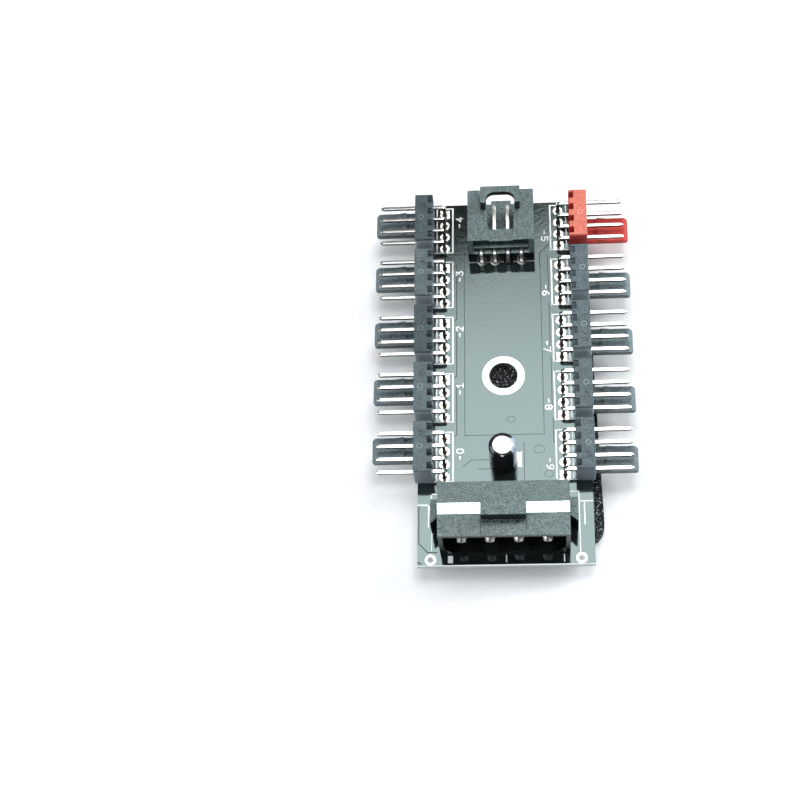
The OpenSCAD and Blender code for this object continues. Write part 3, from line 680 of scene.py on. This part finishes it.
# Tones under the ports' tops are painted light and shade, not colours of their own
BLACK_LOW = {"dark": (0.02, 0.026, 0.03), "light": (0.17, 0.21, 0.235), "rough": 0.42,
             "end": (0.34, 0.39, 0.45, 1)}
RED_LOW = {"dark": (0.34, 0.002, 0.001), "light": (0.6, 0.012, 0.005), "rough": 0.8}
PORT_BLACK = port_plastic("port_plastic", (0.003, 0.006, 0.01), (0.1, 0.13, 0.15), 0.42,
                          mark_highlight=(0.3, 0.34, 0.36, 1), low=BLACK_LOW, spec=0.65, sheen=0.4)
# Ports 2 and 4 get a darker, duller copy of the same plastic: painted shade
PORT_SHADED = port_plastic("port_plastic_shaded", (0.003, 0.005, 0.008), (0.07, 0.095, 0.105), 0.5,
                         mark_highlight=(0.2, 0.24, 0.26, 1), low=BLACK_LOW, spec=0.45, sheen=0.2)
PORT_RED = port_plastic("port_plastic_red", (0.35, 0.02, 0.01), (0.72, 0.13, 0.07), 0.42,
                        mark_highlight=(0.95, 0.3, 0.25, 1), low=RED_LOW, grain=3400.0, spec=1.0,
                        tint=(0.92, 1, 0.9, 1), coat=0.1)
POWER_BLACK = connector_plastic("power_plastic", (0.001, 0.003, 0.003), (0.16, 0.2, 0.2), 0.36,
                                grained_unshaded_from=GRAINED_UNSHADED_FROM, slope=True, grain=4400.0, spec=0.75)
CONTROL_BLACK = connector_plastic("control_plastic", (0.001, 0.003, 0.003), (0.12, 0.155, 0.155), 0.36,
                                  spec=0.85)
BOARD_MASK = board_material()
PORT_PIN_TIN = port_pin_tin()
CONTROL_PIN_TIN = control_pin_tin()
POWER_PIN_TIN = power_pin_tin()
LEAD_TIN = Metal("pin_tin", TIN, TIN_ROUGH).finish()
RING_TIN = Metal("ring_tin", (0.95, 0.95, 0.93, 1), 0.3, grain=1500.0).finish()
CAN_METAL = Metal("can_metal", (0.88, 0.88, 0.88, 1), 0.25).finish()
SOLDER = Solder("joint_solder", 0.22).finish()
PORT_SOLDER = port_solder()
CONTROL_SOLDER = control_solder()
SLEEVE = sleeve_material()
BUNG_RUBBER = paint_material("bung_rubber", (0.02, 0.02, 0.02), (0.05, 0.05, 0.05), 0.7)
FOAM = foam_material()
PRINT_INK = paint_material("board_print", (0.9, 0.92, 0.92), (0.97, 0.98, 0.98), 0.2, spec=1.0)
MASK_GAP = paint_material("mask_gap", (0.004, 0.006, 0.006), (0.012, 0.014, 0.014), 0.5)
MASK_STEP = Mat("mask_step", rough=0.3, color=(0.008, 0.011, 0.011, 1), tint=TEAL).m


# The solids of the part
def dress(node, material, bevel=0.0):
    """Gives a node its finish and, where a width in mm is given, softened edges"""
    o = NODES[node]
    o.data.materials.clear()
    o.data.materials.append(material)
    for p in o.data.polygons:
        p.material_index = 0
    if not bevel:
        return
    w = o.modifiers.new("weld", "WELD")
    w.merge_threshold = WELD * MM
    b = o.modifiers.new("soft_edges", "BEVEL")
    b.width = bevel * MM
    b.segments = BEVEL_SEGMENTS
    b.limit_method = "ANGLE"
    b.angle_limit = math.radians(BEVEL_ANGLE)
    b.use_clamp_overlap = True
    flat = o.modifiers.new("flat_faces", "WEIGHTED_NORMAL")
    flat.mode = "FACE_AREA"
    flat.weight = 90
    flat.keep_sharp = False


PORT_FINISH = [PORT_BLACK] * 10
# Painted shade on ports 2 and 4
PORT_FINISH[2] = PORT_FINISH[4] = PORT_SHADED
PORT_FINISH[5] = PORT_RED
for n, finish in enumerate(PORT_FINISH):
    dress("fan_housing_%d" % n, finish, PORT_BEVEL)
    dress("fan_pins_%d" % n, PORT_PIN_TIN, PIN_BEVEL)
dress("control_shroud", CONTROL_BLACK, SHROUD_BEVEL)
dress("control_pins", CONTROL_PIN_TIN, PIN_BEVEL)
dress("power_shell", POWER_BLACK, SHELL_BEVEL)
for name, finish in (
        ("board", BOARD_MASK), ("plated_rings", RING_TIN), ("power_pins", POWER_PIN_TIN),
        ("capacitor_can", CAN_METAL), ("capacitor_sleeve", SLEEVE), ("capacitor_bung", BUNG_RUBBER),
        ("capacitor_leads", LEAD_TIN), ("solder_left", PORT_SOLDER), ("solder_right", PORT_SOLDER),
        ("solder_control", CONTROL_SOLDER), ("solder_power", SOLDER), ("solder_capacitor", SOLDER)):
    dress(name, finish)


# New pieces
def finish_piece(o, material, smooth=False):
    """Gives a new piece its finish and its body"""
    o.data.materials.clear()
    o.data.materials.append(material)
    if smooth:
        for p in o.data.polygons:
            p.use_smooth = True
    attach(o, "root")


def add_object(name, data):
    """An object for a mesh, a lamp or a camera, in the scene"""
    o = bpy.data.objects.new(name, data)
    bpy.context.scene.collection.objects.link(o)
    return o


def print_piece(name, bm, material):
    """Ends a flat piece on the board that was drawn with strip and prism"""
    bmesh.ops.recalc_face_normals(bm, faces=bm.faces[:])
    me = bpy.data.meshes.new(name)
    bm.to_mesh(me)
    bm.free()
    finish_piece(add_object(name, me), material)


def prism(bm, outline, low, high):
    """A closed prism over an outline of (x, y) in mm"""
    bottom = [bm.verts.new((x * MM, y * MM, low * MM)) for x, y in outline]
    top = [bm.verts.new((x * MM, y * MM, high * MM)) for x, y in outline]
    bm.faces.new(bottom[::-1])
    bm.faces.new(top)
    for i in range(len(outline)):
        j = (i + 1) % len(outline)
        bm.faces.new((bottom[i], bottom[j], top[j], top[i]))


def patch(bm, corners, high):
    """A flat rectangle between two opposite corners"""
    (x0, y0), (x1, y1) = corners
    prism(bm, [(x0, y0), (x1, y0), (x1, y1), (x0, y1)], 0, high)


def strip(bm, points, width, high, step=0.0):
    """A flat line of the given width along points, each leg one closed prism.

    With a step, each leg is that much thinner than the one before, so no two tops share a plane.
    """
    for leg, ((x0, y0), (x1, y1)) in enumerate(zip(points, points[1:])):
        dx, dy = x1 - x0, y1 - y0
        d = math.hypot(dx, dy)
        ux, uy = dx / d * width / 2, dy / d * width / 2
        prism(bm, [(x0 - ux + uy, y0 - uy - ux), (x1 + ux + uy, y1 + uy - ux),
                   (x1 + ux - uy, y1 + uy + ux), (x0 - ux - uy, y0 - uy + ux)], 0, high - leg * step)


class Tree:
    """A geometry node tree with named inputs, and short names for its nodes."""

    def __init__(self, name, inputs):
        self.t = bpy.data.node_groups.new(name, "GeometryNodeTree")
        self.t.interface.new_socket("Geometry", in_out="OUTPUT", socket_type="NodeSocketGeometry")
        self.ids = {}
        self.values = {}
        for label, kind, value in inputs:
            socket = self.t.interface.new_socket(label, in_out="INPUT", socket_type="NodeSocket" + kind)
            self.ids[label] = socket.identifier
            self.values[label] = value
        outputs = self.t.nodes.new("NodeGroupInput").outputs
        self.given = {label: outputs[label] for label in self.values}
        self.out = self.t.nodes.new("NodeGroupOutput").inputs[0]

    def add(self, kind, links=(), **settings):
        """A new node's first output, its inputs linked or set by name"""
        n = self.t.nodes.new(kind)
        for k, v in settings.items():
            setattr(n, k, v)
        for socket, v in dict(links).items():
            if hasattr(v, "links"):
                self.t.links.new(v, n.inputs[socket])
            else:
                n.inputs[socket].default_value = v
        return n.outputs[0]

    def sum(self, a, b, op="ADD"):
        """Two values added, or put together in another way"""
        return self.add("ShaderNodeMath", {0: a, 1: b}, operation=op)

    def times(self, a, b):
        return self.sum(a, b, "MULTIPLY")

    def vector(self, x=0.0, y=0.0, z=0.0):
        return self.add("ShaderNodeCombineXYZ", {"X": x, "Y": y, "Z": z})

    def join(self, parts):
        n = self.t.nodes.new("GeometryNodeJoinGeometry")
        for p in parts:
            self.t.links.new(p, n.inputs[0])
        return n.outputs[0]

    def bake(self, name):
        """The tree's result as a plain mesh object, its modifier removed"""
        o = add_object(name, bpy.data.meshes.new(name))
        mod = o.modifiers.new("made", "NODES")
        mod.node_group = self.t
        for label, value in self.values.items():
            mod[self.ids[label]] = value
        o.data = bpy.data.meshes.new_from_object(o.evaluated_get(bpy.context.evaluated_depsgraph_get()))
        o.modifiers.clear()
        return o


def frame_tree():
    """One frame of printed lines, repeated along a row of ports."""
    t = Tree("port_frame", [
        ("Side", "Float", 1.0),
        ("Ports", "Int", 5),
        ("First", "Float", 0.0),
        ("Pitch", "Float", PORT_PITCH * MM),
        ("Outer", "Float", FRAME_OUTER * MM),
        ("Inner", "Float", FRAME_INNER * MM),
        ("End", "Float", FRAME_END * MM),
        ("Far", "Float", FRAME_FAR * MM),
        ("Near", "Float", FRAME_NEAR * MM),
        ("Line", "Float", FRAME_LINE * MM),
        ("Fine", "Float", FRAME_FINE * MM),
        ("Thickness", "Float", PRINT_T * MM),
        ("Ink", "Material", PRINT_INK)])
    g = t.given
    middle = t.times(t.sum(g["Far"], g["Near"], "SUBTRACT"), 0.5)
    tall = t.sum(g["Far"], g["Near"])
    lift = t.times(g["Thickness"], 0.5)

    def bar(wide, long, x, y):
        block = t.add("GeometryNodeMeshCube", {"Size": t.vector(wide, long, g["Thickness"])})
        return t.add("GeometryNodeTransform", {
            "Geometry": block, "Translation": t.vector(t.times(x, g["Side"]), y, lift)})

    across = t.sum(g["End"], g["Outer"], "SUBTRACT")
    halfway = t.times(t.sum(g["End"], g["Outer"]), 0.5)
    bars = [
        bar(g["Line"], t.sum(tall, g["Line"]), g["Outer"], middle),
        bar(g["Fine"], tall, g["Inner"], middle),
        bar(across, g["Fine"], halfway, g["Far"]),
        bar(across, g["Fine"], halfway, t.times(g["Near"], -1.0))]
    row = t.add("GeometryNodeMeshLine", {
        "Count": g["Ports"], "Start Location": t.vector(y=g["First"]),
        "Offset": t.vector(y=t.times(g["Pitch"], -1.0))})
    copies = t.add("GeometryNodeInstanceOnPoints", {"Points": row, "Instance": t.join(bars)})
    whole = t.add("GeometryNodeRealizeInstances", {"Geometry": copies})
    t.t.links.new(t.add("GeometryNodeSetMaterial", {"Geometry": whole, "Material": g["Ink"]}), t.out)
    return t


def port_frames():
    """The printed frames of both rows."""
    t = frame_tree()
    for name, side, row in (("left", -1.0, PORT_Y[:5]), ("right", 1.0, PORT_Y[5:])):
        t.values["Side"] = side
        t.values["First"] = max(row) * MM
        finish_piece(t.bake("port_frames_" + name), PRINT_INK)


def board_print():
    """The printed marks round the two connectors and the patch by the capacitor."""
    bm = bmesh.new()
    for points, width in HEADER_LINES + POWER_LINES + CORNER_LINES:
        strip(bm, points, width, PRINT_T)
    patch(bm, MOUTH_PATCH, PRINT_T)
    patch(bm, CAPACITOR_PATCH, PRINT_T)
    print_piece("board_print", bm, PRINT_INK)


def port_numbers():
    """A plain number with a dash beside each port, turned as the real print is."""
    bm = bmesh.new()
    for n, y in enumerate(PORT_Y):
        side = -1 if n < 5 else 1
        cx, along = NUMBER_LEFT if n < 5 else NUMBER_RIGHT
        cy = y + along
        if n == 0:
            cy -= NUMBER_0_NEARER
        for line in STROKES[n]:
            turned = [(cx + side * (v - DIGIT_H / 2), cy - side * (u - DIGIT_W / 2)) for u, v in line]
            strip(bm, turned, DIGIT_LINE, PRINT_T, LEG_STEP)
        strip(bm, [(cx, cy + side * DASH_FROM), (cx, cy + side * DASH_TO)], DASH_LINE, PRINT_T)
    print_piece("port_numbers", bm, PRINT_INK)


def mask_gaps():
    """Bare gaps between the copper areas, which show as dark lines."""
    bm = bmesh.new()
    rows = ((GAPS_LEFT, TURN_LEFT, GAP_LEFT_W), (GAPS_RIGHT, TURN_RIGHT, GAP_RIGHT_W))
    for gaps, (aside, on), width in rows:
        for x, far, near in gaps:
            strip(bm, [(x, far), (x, near), (x + aside, near + on)], width, GAP_T)
    for points, width in SLANTED_GAPS:
        strip(bm, points, width, GAP_T)
    print_piece("mask_gaps", bm, MASK_GAP)


def mask_steps():
    """Faint steps in the mask over the edges of the copper."""
    bm = bmesh.new()
    for points in STEP_LINES:
        strip(bm, points, STEP_LINE_W, STEP_T)
    turns = [math.tau * k / RING_SIDES for k in range(RING_SIDES + 1)]
    for cx, cy, r in STEP_RINGS:
        ring = [(cx + r * math.cos(a), cy + RING_FLATTENED * r * math.sin(a)) for a in turns]
        strip(bm, ring, STEP_RING_W, STEP_T)
    print_piece("mask_steps", bm, MASK_STEP)


def foam_felt():
    """The foam pad itself, uneven at its cut edge."""
    o = add_object("foam_felt", NODES["foam_pad"].data.copy())
    r = o.modifiers.new("remesh", "REMESH")
    r.mode = "VOXEL"
    r.voxel_size = FOAM_VOXEL * MM
    baked = bpy.data.meshes.new_from_object(o.evaluated_get(bpy.context.evaluated_depsgraph_get()))
    o.modifiers.clear()
    o.data = baked
    outward = [v.normal.copy() for v in baked.vertices]
    for v, normal in zip(baked.vertices, outward):
        p = v.co / MM
        if not FOAM_LOW[2] + FOAM_SKIN <= p.z <= FOAM_HIGH[2] - FOAM_SKIN:
            continue
        lumps = noise.noise(p * LUMPS_BROAD) + noise.noise(p * LUMPS_FINE + LUMPS_APART)
        v.co = (p + normal * (lumps * LUMP - FOAM_SUNK)) * MM
    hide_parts("foam_pad")
    finish_piece(o, FOAM, smooth=True)


port_frames()
board_print()
port_numbers()
mask_gaps()
mask_steps()
foam_felt()


# Floor, light and camera
def sheet(name, across, along, z, facing_down=False):
    """A flat rectangle between two x and two y, in metres"""
    (x0, x1), (y0, y1) = across, along
    turn = (3, 2, 1, 0) if facing_down else (0, 1, 2, 3)
    me = bpy.data.meshes.new(name)
    me.from_pydata([(x0, y0, z), (x1, y0, z), (x1, y1, z), (x0, y1, z)], [], [turn])
    return add_object(name, me)


def floor():
    """A pale paper floor."""
    o = sheet("floor", (-FLOOR_HALF, FLOOR_HALF), (-FLOOR_HALF, FLOOR_HALF), FLOOR_Z)
    m = Mat("floor_paper", rough=0.9, spec=0.0)
    fine = m.noise(900.0, 3.0, 0.5)
    m.feed("Base Color", m.ramp(fine, [(0.3, (0.875, 0.88, 0.885)), (0.7, (0.905, 0.91, 0.915))]))
    o.data.materials.append(m.m)


def softbox():
    """The large light above and behind: it is what the glossy board mirrors."""
    o = sheet("softbox", SOFTBOX_X, SOFTBOX_Y, SOFTBOX_Z, facing_down=True)
    m = Mat("softbox_light")
    m.t.nodes.remove(m.b)
    x, y = m.axis(0), m.axis(1)
    fade = m.ramp(m.span(y, *FADE_Y), [(stop, (level,) * 3) for stop, level in FADE_LEVELS])
    slanted = m.plus(m.times(x, CORNER_SLANT[0]), m.times(y, CORNER_SLANT[1]))
    corner = m.span(slanted, *CORNER_AT, 1.0, CORNER_LEVEL)
    left = m.mix_value(m.span(y, *LEFT_Y), 1.0, m.span(x, *LEFT_X, LEFT_LEVEL, 1.0))
    right = m.span(x, *RIGHT_X, 1.0, RIGHT_LEVEL)
    shape = m.times(m.times(fade, corner), m.times(left, right))
    e = m.node("ShaderNodeEmission")
    m.link(m.times(shape, SOFTBOX_STRENGTH), e.inputs["Strength"])
    m.link(e.outputs["Emission"], m.out.inputs["Surface"])
    o.data.materials.append(m.m)
    o.visible_camera = False


def lamp(name, at, aim, width, depth, power, color):
    """An area lamp that looks at a place"""
    la = bpy.data.lights.new(name, "AREA")
    la.shape = "RECTANGLE"
    la.size = width
    la.size_y = depth
    la.energy = power
    la.color = color
    ob = add_object(name, la)
    ob.location = at
    ob.rotation_euler = (Vector(aim) - Vector(at)).to_track_quat("-Z", "Y").to_euler()


def world():
    """White where the camera sees it, and a faint cool light on the object."""
    w = bpy.data.worlds.new("studio")
    bpy.context.scene.world = w
    w.use_nodes = True
    t = w.node_tree
    t.nodes.clear()
    out = t.nodes.new("ShaderNodeOutputWorld")
    path = t.nodes.new("ShaderNodeLightPath")
    mix = t.nodes.new("ShaderNodeMixShader")
    t.links.new(path.outputs["Is Camera Ray"], mix.inputs["Fac"])
    for slot, color, strength in ((1, (0.93, 0.97, 1, 1), 0.12), (2, (1, 1, 1, 1), 1.0)):
        sky = t.nodes.new("ShaderNodeBackground")
        sky.inputs["Color"].default_value = color
        sky.inputs["Strength"].default_value = strength
        t.links.new(sky.outputs[0], mix.inputs[slot])
    t.links.new(mix.outputs[0], out.inputs["Surface"])


def camera():
    """The camera, where the photograph was taken from."""
    cam = bpy.data.cameras.new("camera")
    cam.lens = CAMERA_LENS
    cam.sensor_width = CAMERA_SENSOR
    cam.clip_start = 0.01
    cam.clip_end = 20.0
    eye = add_object("camera", cam)
    eye.location = CAMERA_AT
    eye.rotation_euler = [math.radians(a) for a in CAMERA_TURN]
    bpy.context.scene.camera = eye


floor()
softbox()
for values in LAMPS:
    lamp(*values)
world()
camera()
bpy.context.scene.view_settings.view_transform = "Standard"
